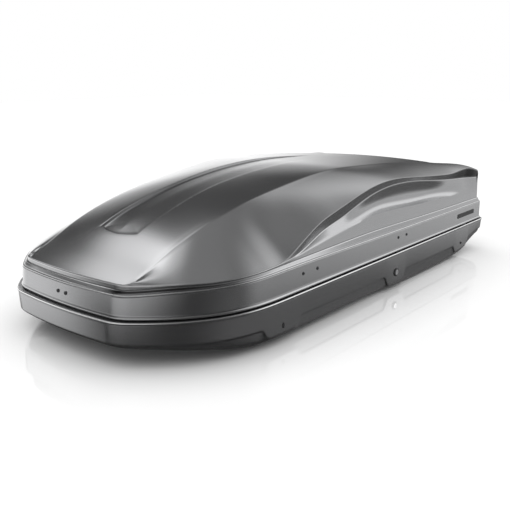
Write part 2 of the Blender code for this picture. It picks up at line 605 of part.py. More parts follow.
def make_pod_plug(name, x, z, r, half):
    """Small dark plug in the face of a latch pod."""
    ring = [(x + r * math.cos(t), z + math.copysign(half, math.sin(t)) + r * math.sin(t))
            for t in (math.pi * (k + 0.5) / 8 for k in range(16))]
    y = face_y(x, z)
    plug = plate(name, ring, "y", y - 0.0018, y - 0.0007)
    material_for(plug, "black_plastic")


# ---------------------------------------------------------------- gas struts
def make_strut(name, x):
    foot = np.array([x, *STRUT_FOOT])
    head = np.array([x, *STRUT_HEAD])
    length = np.linalg.norm(head - foot)
    u = (head - foot) / length
    tube = rod(f"strut_{name}_tube", foot + 0.013 * u, foot + 0.176 * u, 0.0090, 20)
    eye = rod("foot_eye", foot - (0.005, 0, 0), foot + (0.005, 0, 0), 0.0078, 20, cut_set)
    join(tube, eye, rod("eye_neck", foot + 0.003 * u, foot + 0.016 * u, 0.0050, 14, cut_set))
    cut(tube, rod("foot_bore", foot - (0.02, 0, 0), foot + (0.02, 0, 0), 0.00405, 20, cut_set))
    cut(tube, rod("rod_bore", foot + 0.060 * u, foot + 0.190 * u, 0.0043, 20, cut_set))
    stem = rod(f"strut_{name}_rod", foot + 0.085 * u, foot + (length - 0.002) * u, 0.0040, 20)
    join(stem, rod("socket", head - (0.005, 0, 0), head + (0.005, 0, 0), 0.0075, 18, cut_set))
    hang_on(tube, foot)
    hang_on(stem, foot)
    wall = float(half_width(x)) - 0.0253
    foot_plate = cuboid(f"strut_{name}_foot", (x - 0.020, wall - 0.003, -0.098), (x + 0.020, wall, -0.058))
    join(foot_plate, cuboid("foot_tab", (x + 0.0065, 0.3620, -0.0750), (x + 0.0095, wall - 0.001, -0.0420), cut_set))
    join(foot_plate, rod("foot_pin", foot - (0.0065, 0, 0), foot + (0.0080, 0, 0), 0.0040, 20, cut_set))
    hy, hz = STRUT_HEAD
    under = [(y, float(roof(x + 0.0155, y)) - 0.0065) for y in (hy + 0.030, hy + 0.010, hy - 0.010, hy - 0.030)]
    tab = plate(f"strut_{name}_lid_bracket", [(hy - 0.012, hz - 0.008), (hy + 0.012, hz - 0.008)] + under,
                "x", x + 0.0135, x + 0.0175)
    join(tab, rod("head_pin", head + (0.0055, 0, 0), head + (0.0150, 0, 0), 0.0040, 18, cut_set))
    for obj, look in ((tube, "black_steel"), (stem, "bright_chrome"), (foot_plate, "zinc_steel"), (tab, "zinc_steel")):
        material_for(obj, look)
    lid_pieces.append(tab)


# ---------------------------------------------------------------- roof-bar clamps
def make_clamp(index, x, y):
    def block(name, lo, hi, group=None):
        return cuboid(name, (x + lo[0], y + lo[1], lo[2]), (x + hi[0], y + hi[1], hi[2]), group)
    top = -DEPTH + SKIN
    frame = block(f"clamp_{index}_frame", (-0.052, -0.036, top + GAP), (0.052, 0.036, top + 0.0043))
    for side in (-1, 1):
        a, b = sorted((side * 0.026, side * 0.030))
        join(frame, block("post", (-0.009, a, top + 0.002), (0.009, b, -0.058), cut_set))
        a, b = sorted((side * 0.0195, side * 0.0425))
        slot = block("claw_slot", (a, -0.0115, -0.140), (b, 0.0115, -0.110), cut_set)
        cut(base, slot)
        cut(frame, slot)
    join(frame, block("bridge", (-0.012, -0.030, -0.060), (0.012, 0.030, -0.056), cut_set))
    hole = rod("screw_way", (x, y, -0.080), (x, y, -0.050), 0.0045, 16, cut_set)
    cut(frame, hole)
    claw = block(f"clamp_{index}_claw", (-0.040, -0.010, -0.0700), (0.040, 0.010, -0.0640))
    for side in (-1, 1):
        a, b = sorted((side * 0.0345, side * 0.040))
        join(claw, block("arm", (a, -0.010, -0.1240), (b, 0.010, -0.0650), cut_set))
        a, b = sorted((side * 0.0220, side * 0.038))
        join(claw, block("toe", (a, -0.010, -0.1240), (b, 0.010, -0.1205), cut_set))
    cut(claw, rod("claw_way", (x, y, -0.090), (x, y, -0.050), 0.0046, 16, cut_set))
    verts = 36
    grip = [(x + r * math.cos(t), y + r * math.sin(t)) for k in range(verts)
            for t, r in ((2 * math.pi * k / verts, 0.0290 + 0.0022 * math.cos(12 * math.pi * k / verts)),)]
    knob = plate(f"clamp_{index}_knob", grip, "z", -0.0557, -0.0360)
    soften(knob, 0.0025, 1, 60)
    join(knob, rod("screw", (x, y, -0.1155), (x, y, -0.0500), 0.0040, 16, cut_set))
    hang_on(knob, (x, y, -0.0560))
    hang_on(claw, (x, y, -0.0670))
    material_for(frame, "zinc_steel")
    material_for(claw, "black_steel")
    material_for(knob, "black_plastic")


# ---------------------------------------------------------------- stiffening, locator and plate
def make_rail(name, y):
    low = -DEPTH + SKIN + GAP
    hat = [(y - 0.020, low), (y + 0.020, low), (y + 0.020, low + 0.002), (y + 0.012, low + 0.002),
           (y + 0.010, low + 0.012), (y - 0.010, low + 0.012), (y - 0.012, low + 0.002), (y - 0.020, low + 0.002)]
    rail = plate(name, hat, "x", 0.46, 1.42)
    material_for(rail, "zinc_steel")


def make_bow(name, x):
    """Cross bow bonded under the lid's roof, dipping under the channel."""
    ys = np.linspace(-0.205, 0.205, 17)
    verts, faces = [], []
    for y in ys:
        top = min(float(roof(q, y)) for q in (x - 0.018, x + 0.018)) - 0.0056
        top -= 0.0070 * float(smooth(0.115, 0.085, abs(y)))
        verts += [(x - 0.018, y, top), (x + 0.018, y, top), (x + 0.010, y, top - 0.010), (x - 0.010, y, top - 0.010)]
    n = len(ys)
    for k in range(n - 1):
        for c in range(4):
            d = (c + 1) % 4
            faces.append((4 * k + c, 4 * k + d, 4 * k + 4 + d, 4 * k + 4 + c))
    faces += [(3, 2, 1, 0), (4 * n - 4, 4 * n - 3, 4 * n - 2, 4 * n - 1)]
    bow = add(name, verts, faces)
    turn_outward(bow)
    material_for(bow, "black_steel")
    lid_pieces.append(bow)


def make_nose_parts():
    bracket = cuboid("nose_locator", (0.0273, -0.035, 0.0262), (0.0299, 0.035, 0.0500))
    for side, tag in ((-1, "a"), (1, "b")):
        y, z = side * 0.0165, 0.0330
        screw = rod(f"nose_screw_{tag}", (0.0180, y, z), (0.0195, y, z), 0.0042, 16, None, 0.0052)
        join(screw, rod("nose_shank", (0.0190, y, z), (0.0318, y, z), 0.0020, 12, cut_set))
        hole = rod("nose_hole", (0.008, y, z), (0.040, y, z), 0.0024, 12, cut_set)
        cut(lid, hole)
        cut(bracket, hole)
        material_for(screw, "black_steel")
        lid_pieces.append(screw)
    material_for(bracket, "zinc_steel")
    lid_pieces.append(bracket)


def make_name_plate():
    """Blank plate on the skirt near the rear."""
    ends = (1.507, 1.656)
    y0, y1 = (-(float(half_width(x)) - 0.0117) - 0.0004 for x in ends)
    verts = []
    for x, y in zip(ends, (y0, y1)):
        for z in (0.031, 0.047):
            verts += [(x, y - 0.0014, z), (x, y, z)]
    faces = [(0, 1, 3, 2), (4, 6, 7, 5), (0, 4, 5, 1), (2, 3, 7, 6), (0, 2, 6, 4), (1, 5, 7, 3)]
    blank = add("name_plate", verts, faces)
    turn_outward(blank)
    soften(blank, 0.0005)
    material_for(blank, "black_plastic")
    lid_pieces.append(blank)


lid_pieces = [lid]
material_for(lid, "titan_plastic")
material_for(base, "titan_plastic")
material_for(make_seal(), "dark_rubber")
for number, hinge_x in enumerate(HINGE_X, 1):
    make_hinge(number, hinge_x)
for number, (latch_x, screws) in enumerate(zip(LATCH_X, ((-0.033, 0.034), (-0.028, 0.028), ())), 1):
    make_latch(number, latch_x, screws)
make_lock()
make_pod_plug("pod_plug_front", 0.410, -0.0725, 0.0028, 0.0050)
make_pod_plug("pod_plug_rear", 1.535, -0.0680, 0.0045, 0.0)
for label, strut_x in zip(("front", "rear"), STRUT_X):
    make_strut(label, strut_x)
for number, (clamp_x, side) in enumerate(((cx, cs) for cx in CLAMP_X for cs in (-1, 1)), 1):
    make_clamp(number, clamp_x, side * CLAMP_Y)
make_rail("base_rail_near", -0.300)
make_rail("base_rail_far", 0.300)
make_bow("lid_bow_front", 0.80)
make_bow("lid_bow_rear", 1.20)
make_nose_parts()
make_name_plate()
for piece in lid_pieces:
    hang_on(piece, (LENGTH / 2, HINGE_Y, HINGE_Z))
for cutter in cut_set.objects:
    cutter.hide_render = True
    if cutter.type == "MESH":
        cutter.display_type = "WIRE"
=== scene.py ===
"""Roof cargo box: satin grey lid and tray with their lock, screws, hinges, struts and roof-bar clamps."""
import math

import bmesh
import bpy
import numpy as np
from mathutils import Matrix, Vector


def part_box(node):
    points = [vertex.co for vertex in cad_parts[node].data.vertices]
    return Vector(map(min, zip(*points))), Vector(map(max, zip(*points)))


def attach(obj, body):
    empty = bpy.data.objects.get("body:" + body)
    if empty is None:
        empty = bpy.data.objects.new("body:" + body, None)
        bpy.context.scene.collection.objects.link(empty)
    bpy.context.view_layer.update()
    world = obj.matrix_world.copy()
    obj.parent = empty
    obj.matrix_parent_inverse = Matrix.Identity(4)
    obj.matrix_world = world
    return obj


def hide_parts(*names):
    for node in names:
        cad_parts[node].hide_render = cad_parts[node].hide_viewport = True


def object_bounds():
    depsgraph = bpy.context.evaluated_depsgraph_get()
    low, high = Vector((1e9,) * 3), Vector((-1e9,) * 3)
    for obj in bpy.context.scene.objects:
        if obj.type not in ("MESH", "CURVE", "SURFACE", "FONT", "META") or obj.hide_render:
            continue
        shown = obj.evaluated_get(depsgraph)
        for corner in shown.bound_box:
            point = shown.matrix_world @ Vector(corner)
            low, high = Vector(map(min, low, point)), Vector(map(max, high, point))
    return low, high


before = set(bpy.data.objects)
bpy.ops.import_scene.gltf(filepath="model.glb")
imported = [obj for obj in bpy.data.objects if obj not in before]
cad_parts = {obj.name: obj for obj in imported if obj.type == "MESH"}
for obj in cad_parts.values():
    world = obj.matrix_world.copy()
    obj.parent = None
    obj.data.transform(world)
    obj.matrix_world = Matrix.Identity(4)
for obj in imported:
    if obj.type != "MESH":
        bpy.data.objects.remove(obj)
CAD_BOX = [list(corner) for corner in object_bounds()]

# ------------------------------------------------------------------ camera
# Low three-quarter view from in front of the lock side, with the nose toward the viewer.
EYE = Vector((-1.7896, -1.4528, 0.7037))
TURN, TILT, ROLL = math.radians(-49.63), math.radians(15.24), math.radians(-0.39)
toward_eye = Vector((math.sin(TURN) * math.cos(TILT), -math.cos(TURN) * math.cos(TILT), math.sin(TILT)))
right = Vector((math.cos(TURN), math.sin(TURN), 0.0))
up = toward_eye.cross(right)
right, up = (right * math.cos(ROLL) + up * math.sin(ROLL), up * math.cos(ROLL) - right * math.sin(ROLL))
camera_data = bpy.data.cameras.new("camera")
camera_data.lens, camera_data.sensor_width = 47.38, 36.0
camera_data.clip_start, camera_data.clip_end = 0.05, 60.0
camera = bpy.data.objects.new("camera", camera_data)
bpy.context.scene.collection.objects.link(camera)
axes = Matrix((right, up, toward_eye)).transposed().to_4x4()
camera.matrix_world = Matrix.Translation(EYE) @ axes
bpy.context.scene.camera = camera
bpy.context.scene.view_settings.view_transform = "Standard"
bpy.context.scene.view_settings.look = "None"


# ------------------------------------------------------------------ studio floor and light
# Pale polished floor in a white studio. The world holds the softboxes: tall and low ones behind on the left, a
# strip along the back, a broad one on the right with a brighter core, and a dim ceiling. The gaps between them
# are dark flags that shape the satin shells.
class Value:
    """A shader socket that adds Math nodes when it is used in arithmetic."""

    def __init__(self, look, socket):
        self.look, self.socket = look, socket

    def _math(self, operation, a, b):
        return self.look.node("ShaderNodeMath", {"operation": operation}, {0: a, 1: b})

    def __add__(self, other):
        return self._math("ADD", self, other)

    def __radd__(self, other):
        return self._math("ADD", other, self)

    def __rsub__(self, other):
        return self._math("SUBTRACT", other, self)

    def __mul__(self, other):
        return self._math("MULTIPLY", self, other)

    def __rmul__(self, other):
        return self._math("MULTIPLY", other, self)


class Look:
    """A node tree being written: node() adds one node, sets it and returns one of its outputs."""

    def __init__(self, owner):
        owner.use_nodes = True
        self.owner, self.tree = owner, owner.node_tree
        self.tree.nodes.clear()

    def node(self, kind, settings=None, inputs=None, out=0):
        made = self.tree.nodes.new(kind)
        for key, value in (settings or {}).items():
            if key == "stops":
                while len(made.color_ramp.elements) < len(value):
                    made.color_ramp.elements.new(0.5)
                for element, (at, shade) in zip(made.color_ramp.elements, value):
                    element.position = at
                    element.color = (shade, shade, shade, 1)
            else:
                setattr(made, key, value)
        for key, value in (inputs or {}).items():
            if isinstance(value, Value):
                self.tree.links.new(value.socket, made.inputs[key])
            else:
                made.inputs[key].default_value = value
        return Value(self, made.outputs[out]) if made.outputs else None

    def ramp(self, value, *stops):
        made = self.node("ShaderNodeValToRGB", {"stops": stops}, {0: value})
        made.socket.node.color_ramp.interpolation = "EASE"
        return made

    def speckle(self, scale, detail=2.0, rough=0.5, stretch=(1, 1, 1)):
        where = self.node("ShaderNodeTexCoord", out="Object")
        where = self.node("ShaderNodeMapping", inputs={"Vector": where, "Scale": stretch})
        return self.node("ShaderNodeTexNoise", inputs={
            "Vector": where, "Scale": scale, "Detail": detail, "Roughness": rough})

    def tint(self, mask, a, b):
        """Colour a where mask is 0, b where it is 1."""
        return self.mix(mask, (*a, 1), (*b, 1))

    def mix(self, mask, a, b):
        return self.node("ShaderNodeMix", {"data_type": "RGBA"}, {"Factor": mask, "A": a, "B": b}, "Result")

    def bump(self, height, strength, distance):
        return self.node("ShaderNodeBump", inputs={
            "Height": height, "Strength": strength, "Distance": distance})

    def surface(self, **values):
        shader = self.node("ShaderNodeBsdfPrincipled",
                           inputs={key.replace("_", " "): value for key, value in values.items()})
        self.node("ShaderNodeOutputMaterial", inputs={"Surface": shader})
        self.owner.diffuse_color = (0.4, 0.4, 0.4, 1)
        return self.owner


def look(name):
    return Look(bpy.data.materials.new(name))


def mesh_object(name, verts, faces, smooth=True):
    mesh = bpy.data.meshes.new(name)
    mesh.from_pydata([tuple(v) for v in verts], [], faces)
    mesh.validate()
    obj = bpy.data.objects.new(name, mesh)
    bpy.context.scene.collection.objects.link(obj)
    if smooth:
        mesh.shade_smooth()
    return obj


FLOOR_HALF = 14.0
floor_look = look("studio_floor")
where = floor_look.node("ShaderNodeTexCoord", out="Object")
oval = floor_look.node("ShaderNodeMapping", inputs={"Vector": where, "Scale": (0.8, 1.3, 1.0)})
away = floor_look.node("ShaderNodeVectorMath", {"operation": "LENGTH"}, {0: oval}, "Value")
polish = floor_look.ramp(away, (0.55, 0.30), (0.95, 0.05))
white = floor_look.node("ShaderNodeBsdfDiffuse", inputs={"Color": (0.86, 0.86, 0.86, 1), "Roughness": 0.0})
mirror = floor_look.node("ShaderNodeBsdfGlossy", inputs={"Color": (1, 1, 1, 1), "Roughness": 0.0})
both = floor_look.node("ShaderNodeMixShader", inputs={0: polish, 1: white, 2: mirror})
floor_look.node("ShaderNodeOutputMaterial", inputs={"Surface": both})
corners = [(FLOOR_HALF * a, FLOOR_HALF * b, 0) for a, b in ((-1, -1), (1, -1), (1, 1), (-1, 1))]
floor = mesh_object("floor", corners, [(0, 1, 2, 3)], smooth=False)
floor.data.materials.append(floor_look.owner)
floor.visible_glossy = False

world = bpy.data.worlds.new("studio")
bpy.context.scene.world = world
sky = Look(world)
way = sky.node("ShaderNodeTexCoord", out="Generated")
way_x, way_y, way_z = (sky.node("ShaderNodeSeparateXYZ", inputs={0: way}, out=k) for k in "XYZ")
azimuth = sky.node("ShaderNodeMath", {"operation": "ARCTAN2"}, {0: way_y, 1: way_x}) * math.degrees(1)
height = sky.node("ShaderNodeMath", {"operation": "ARCSINE"}, {0: way_z}) * math.degrees(1)


def rise(value, start, end):
    return sky.node("ShaderNodeMapRange", {"interpolation_type": "SMOOTHSTEP"},
                    {"Value": value, "From Min": start, "From Max": end})


def window(value, rise_from, rise_to, fall_from, fall_to):
    """1 between rise_to and fall_from, easing to 0 on both sides."""
    return rise(value, rise_from, rise_to) * rise(value, fall_to, fall_from)


right_box = 0.75 * window(azimuth, -75, -55, 6, 27) * window(height, -20, -6, 47, 62)
right_core = 0.75 * window(azimuth, -60, -42, -8, 8) * window(height, 10, 20, 36, 46)
tall_box = 1.60 * window(azimuth, 66, 79, 104, 124) * window(height, 33, 42, 58, 72)
high_box = 0.8 * window(azimuth, 40, 60, 80, 100) * window(height, 48, 55, 66, 80)
flank_box = 0.38 * window(azimuth, -2, 10, 24, 34) * window(height, 22, 32, 50, 58)
low_box = 1.15 * window(azimuth, 82, 98, 120, 142) * window(height, -38, -15, 20, 32)
back_strip = 1.5 * window(azimuth, 25, 43, 80, 100) * window(height, -22, -12, 6, 16)
back_fill = 0.45 * window(azimuth, 22, 38, 60, 80) * window(height, 5, 10, 17, 27)
front_strip = 0.35 * window(0.0 - way_x, 0.5, 0.8, 2, 3) * window(height, -14, -6, 8, 22)
floor_glow = 0.12 * window(azimuth, -130, -75, 10, 30) * window(height, -52, -32, -12, -2)
ceiling = 0.22 * window(azimuth, -70, -30, 140, 170) + 0.25 * window(azimuth, 35, 60, 110, 140)
ceiling = ceiling * window(height, 55, 68, 100, 110)
far_fill = 0.42 * (1.0 - window(azimuth, -165, -135, 142, 160)) * window(height, -35, -12, 60, 85)
glow = (0.04 + far_fill + right_box + right_core + tall_box + high_box + flank_box + low_box + back_strip
        + back_fill + front_strip + floor_glow + ceiling)
overhead = 1.75 * rise(height, 0, 60)
straight, mirrored, satin = (sky.node("ShaderNodeLightPath", out=k)
                             for k in ("Is Camera Ray", "Is Singular Ray", "Is Glossy Ray"))
white_wall = sky.node("ShaderNodeMath", {"operation": "MAXIMUM"}, {0: straight, 1: mirrored})
lit = overhead * (1.0 - satin) + glow * satin
strength = white_wall + lit * (1.0 - white_wall)
backdrop = sky.node("ShaderNodeBackground", inputs={"Color": (1, 1, 1, 1), "Strength": strength})
sky.node("ShaderNodeOutputWorld", inputs={"Surface": backdrop})

# ------------------------------------------------------------------ lid shell
# One vacuum-formed sheet of metallic-grey plastic: flanged skirt, beaded ledge, arched side recess, shoulder
# crease and a shallow middle channel. It is trimmed at the flange and notched over the three hinges.
LENGTH = CAD_BOX[1][0] - CAD_BOX[0][0]
NOSE_X = CAD_BOX[0][0]
RIM_Z = 0.125                               # the parting plane; the heights below are measured from it
SKIN = 0.004
NOSE_BOW, NOSE_HALF = 0.014, 0.213
NOSE_REACH, REAR_REACH = 0.032, 0.036       # how far the plan's corner curves run along each side
WIDE_AT, HALF_MAX, HALF_REAR = 0.426, 0.4288, 0.4250
FLANGE_Z = 0.0030
CHANNEL_DEPTH = 0.0070
LID_COLUMNS = (44, 240, 46)                 # mesh columns along half the nose, the side and half the rear
ARC_STEPS = 4                               # facets across each rounded edge


def spline(*knots):
    """Natural cubic curve through a few (distance from the nose, value) knots, held flat outside them."""
    xs, ys = np.array(knots, float).T
    n, h = len(xs), np.diff(xs)
    a, r = np.eye(n), np.zeros(n)
    for i in range(1, n - 1):
        a[i, i - 1:i + 2] = h[i - 1], 2 * (h[i - 1] + h[i]), h[i]
        r[i] = 6 * ((ys[i + 1] - ys[i]) / h[i] - (ys[i] - ys[i - 1]) / h[i - 1])
    m = np.linalg.solve(a, r)

    def value(x):
        x = np.clip(x, xs[0], xs[-1])
        i = np.clip(np.searchsorted(xs, x) - 1, 0, n - 2)
        p, q, s = xs[i + 1] - x, x - xs[i], h[i]
        return ((m[i] * p ** 3 + m[i + 1] * q ** 3) / (6 * s) + (ys[i] / s - m[i] * s / 6) * p
                + (ys[i + 1] / s - m[i + 1] * s / 6) * q)
    return value


def ease(a, b, x):
    t = np.clip((x - a) / (b - a), 0, 1)
    return t * t * (3 - 2 * t)


def half_width(x):
    t = np.clip((x - NOSE_BOW) / (WIDE_AT - NOSE_BOW), 0, 1)
    front = NOSE_HALF + (HALF_MAX - NOSE_HALF) * (1 - (1 - t) ** 2.77)
    back = np.clip((x - WIDE_AT) / (LENGTH - WIDE_AT), 0, 1)
    return front - (HALF_MAX - HALF_REAR) * back ** 2


def fillet(before, after, reach):
    """Round the corner between two dense polylines, reach being measured along each."""
    def trim(path):
        run = np.r_[0, np.cumsum(np.hypot(*np.diff(path, axis=0).T))]
        tip = np.array([np.interp(reach, run, path[:, k]) for k in (0, 1)])
        return tip, np.vstack([tip, path[run > reach]])
    p0, a = trim(before[::-1])
    p1, b = trim(after)
    t0, t1 = p0 - a[1], b[1] - p1
    t0, t1 = t0 / np.hypot(*t0), t1 / np.hypot(*t1)
    turn = math.acos(float(np.clip(t0 @ t1, -1, 1)))
    h = 4 / 3 * math.tan(turn / 4) / math.tan(turn / 2) * reach
    u = np.linspace(0, 1, 65)[:, None]
    arc = ((1 - u) ** 3 * p0 + 3 * u * (1 - u) ** 2 * (p0 + h * t0)
           + 3 * u * u * (1 - u) * (p1 - h * t1) + u ** 3 * p1)
    return a[::-1], arc, b


def rim_columns(nose_n, side_n, rear_n):
    """Points and inward normals of the rim's plan outline, from the nose centre round to the rear centre."""
    y = np.linspace(0, NOSE_HALF, 400)
    nose = np.c_[NOSE_BOW * (y / NOSE_HALF) ** 2, -y]
    x = np.linspace(NOSE_BOW, LENGTH, 3000)
    side = np.c_[x, -half_width(x)]
    y = np.linspace(HALF_REAR, 0, 600)
    rear = np.c_[np.full(600, LENGTH), -y]
    first, arc_a, rest = fillet(nose, side, NOSE_REACH)
    middle, arc_b, last = fillet(rest, rear, REAR_REACH)
    path = np.vstack([first[:-1], arc_a[:-1], middle[1:-1], arc_b[:-1], last])
    run = np.r_[0, np.cumsum(np.hypot(*np.diff(path, axis=0).T))]
    corner_a = run[len(first) - 1 + 32]
    corner_b = run[len(first) - 1 + 64 + len(middle) - 2 + 32]
    s = np.linspace(0, 1, nose_n + 1)[:-1]
    cols = list(corner_a * (s + 0.5 * np.sin(math.pi * s) / math.pi))
    s = np.linspace(0, 1, side_n + 1)
    cols += list(corner_a + (corner_b - corner_a) * (s - 0.62 * np.sin(2 * math.pi * s) / (2 * math.pi)))
    s = np.linspace(0, 1, rear_n + 1)[1:]
    cols += list(corner_b + (run[-1] - corner_b) * (s - 0.75 * np.sin(math.pi * s) / math.pi))
    cols = np.array(cols)
    tang = np.gradient(path, run, axis=0)
    pts = np.c_[np.interp(cols, run, path[:, 0]), np.interp(cols, run, path[:, 1])]
    tan = np.c_[np.interp(cols, run, tang[:, 0]), np.interp(cols, run, tang[:, 1])]
    for _ in range(3):                                   # even out the turn into each corner
        tan[1:-1] = (tan[:-2] + 2 * tan[1:-1] + tan[2:]) / 4
    tan /= np.hypot(*tan.T)[:, None]
    normal = np.c_[-tan[:, 1], tan[:, 0]]
    normal[0], normal[-1] = (1, 0), (-1, 0)
    pts[0, 1] = pts[-1, 1] = 0.0
    return pts, normal


skirt_top = spline((0, 0.060), (0.04, 0.0615), (0.08, 0.0655), (0.18, 0.0702), (0.30, 0.0735), (0.84, 0.0735),
                   (1.22, 0.0715), (1.75, 0.0705))
ledge_top = spline((0, 0.0735), (0.05, 0.0765), (0.09, 0.0805), (0.19, 0.082), (0.34, 0.0845), (0.70, 0.0945),
                   (0.86, 0.0975), (1.04, 0.0960), (1.25, 0.0915), (1.48, 0.0885), (1.75, 0.0865))
panel_foot = spline((0.46, 0.092), (0.56, 0.105), (0.66, 0.115), (0.76, 0.122), (0.90, 0.133), (1.15, 0.1265),
                    (1.42, 0.1176), (1.67, 0.110), (1.75, 0.108))
arch_high = spline((0.33, 0.083), (0.38, 0.088), (0.454, 0.0966), (0.475, 0.1055), (0.55, 0.137),
                   (0.61, 0.160), (0.73, 0.192), (0.83, 0.2155), (0.93, 0.233), (1.065, 0.2375),
                   (1.226, 0.2240), (1.383, 0.2110), (1.504, 0.2055), (1.60, 0.2115), (1.68, 0.205),
                   (1.75, 0.182))
arch_low = spline((0.33, 0.0825), (0.38, 0.0865), (0.454, 0.0925), (0.506, 0.0990), (0.60, 0.1195),
                  (0.67, 0.1400), (0.75, 0.1580), (0.857, 0.1885), (0.975, 0.2115), (1.104, 0.2175),
                  (1.248, 0.2080), (1.407, 0.1900), (1.596, 0.1730), (1.75, 0.161))
crease_y = spline((0.058, 0.215), (0.14, 0.2175), (0.33, 0.228), (0.6, 0.235), (0.85, 0.245), (1.75, 0.250))
crease_z = spline((0.03, 0.0635), (0.058, 0.0765), (0.102, 0.0965), (0.143, 0.1145), (0.203, 0.1435),
                  (0.267, 0.1695), (0.38, 0.2035), (0.50, 0.230), (0.63, 0.2505), (0.75, 0.266),
                  (0.88, 0.276), (1.06, 0.271), (1.20, 0.263), (1.34, 0.252), (1.50, 0.2365), (1.62, 0.220),
                  (1.75, 0.186))
crown = spline((0.03, 0.008), (0.22, 0.016), (0.46, 0.021), (0.69, 0.019), (0.83, 0.0125), (1.0, 0.009),
               (1.75, 0.009))
channel_y = spline((0.20, 0.079), (0.34, 0.079), (0.42, 0.075), (0.74, 0.075), (0.95, 0.068), (1.23, 0.052),
                   (1.4, 0.047))


def roof(x, y):
    """Height of the lid's upper face without the channel."""
    return crease_z(x) + crown(x) * (1 - (y / crease_y(x)) ** 2)


def channel_depth(x):
    """The channel is sunk at the front and runs out toward the rear."""
    return CHANNEL_DEPTH * (1 - ease(0.75, 1.28, x))


def row(pts, normal, amount, z):
    plan = pts + normal * np.broadcast_to(amount, (len(pts),))[:, None]
    return np.c_[plan, np.broadcast_to(z, (len(pts),))]


def loop(pts, counts, front_x, rear_x, half, front_bow, rear_bow):
    """Plan of a loop inside the outline: flat-ended at the nose and rear, following half(x) along the side."""
    nose_n, side_n, rear_n = counts
    n = len(pts)
    side = slice(nose_n, n - rear_n)
    s = (pts[side, 0] - pts[side, 0][0]) / (pts[side, 0][-1] - pts[side, 0][0])
    x, y = np.empty(n), np.empty(n)
    x[side] = front_x + (rear_x - front_x) * s
    y[side] = -half(x[side])
    u = pts[:nose_n, 1] / pts[nose_n, 1]
    x[:nose_n], y[:nose_n] = front_x - front_bow * (1 - u ** 2), y[nose_n] * u
    u = pts[n - rear_n:, 1] / pts[n - rear_n - 1, 1]
    x[n - rear_n:], y[n - rear_n:] = rear_x + rear_bow * (1 - u ** 2), y[n - rear_n - 1] * u
    return x, y


def even_out(values, times):
    """Soften a per-column curve without moving its ends."""
    for _ in range(times):
        values[1:-1] = (values[:-2] + 2 * values[1:-1] + values[2:]) / 4
    return values


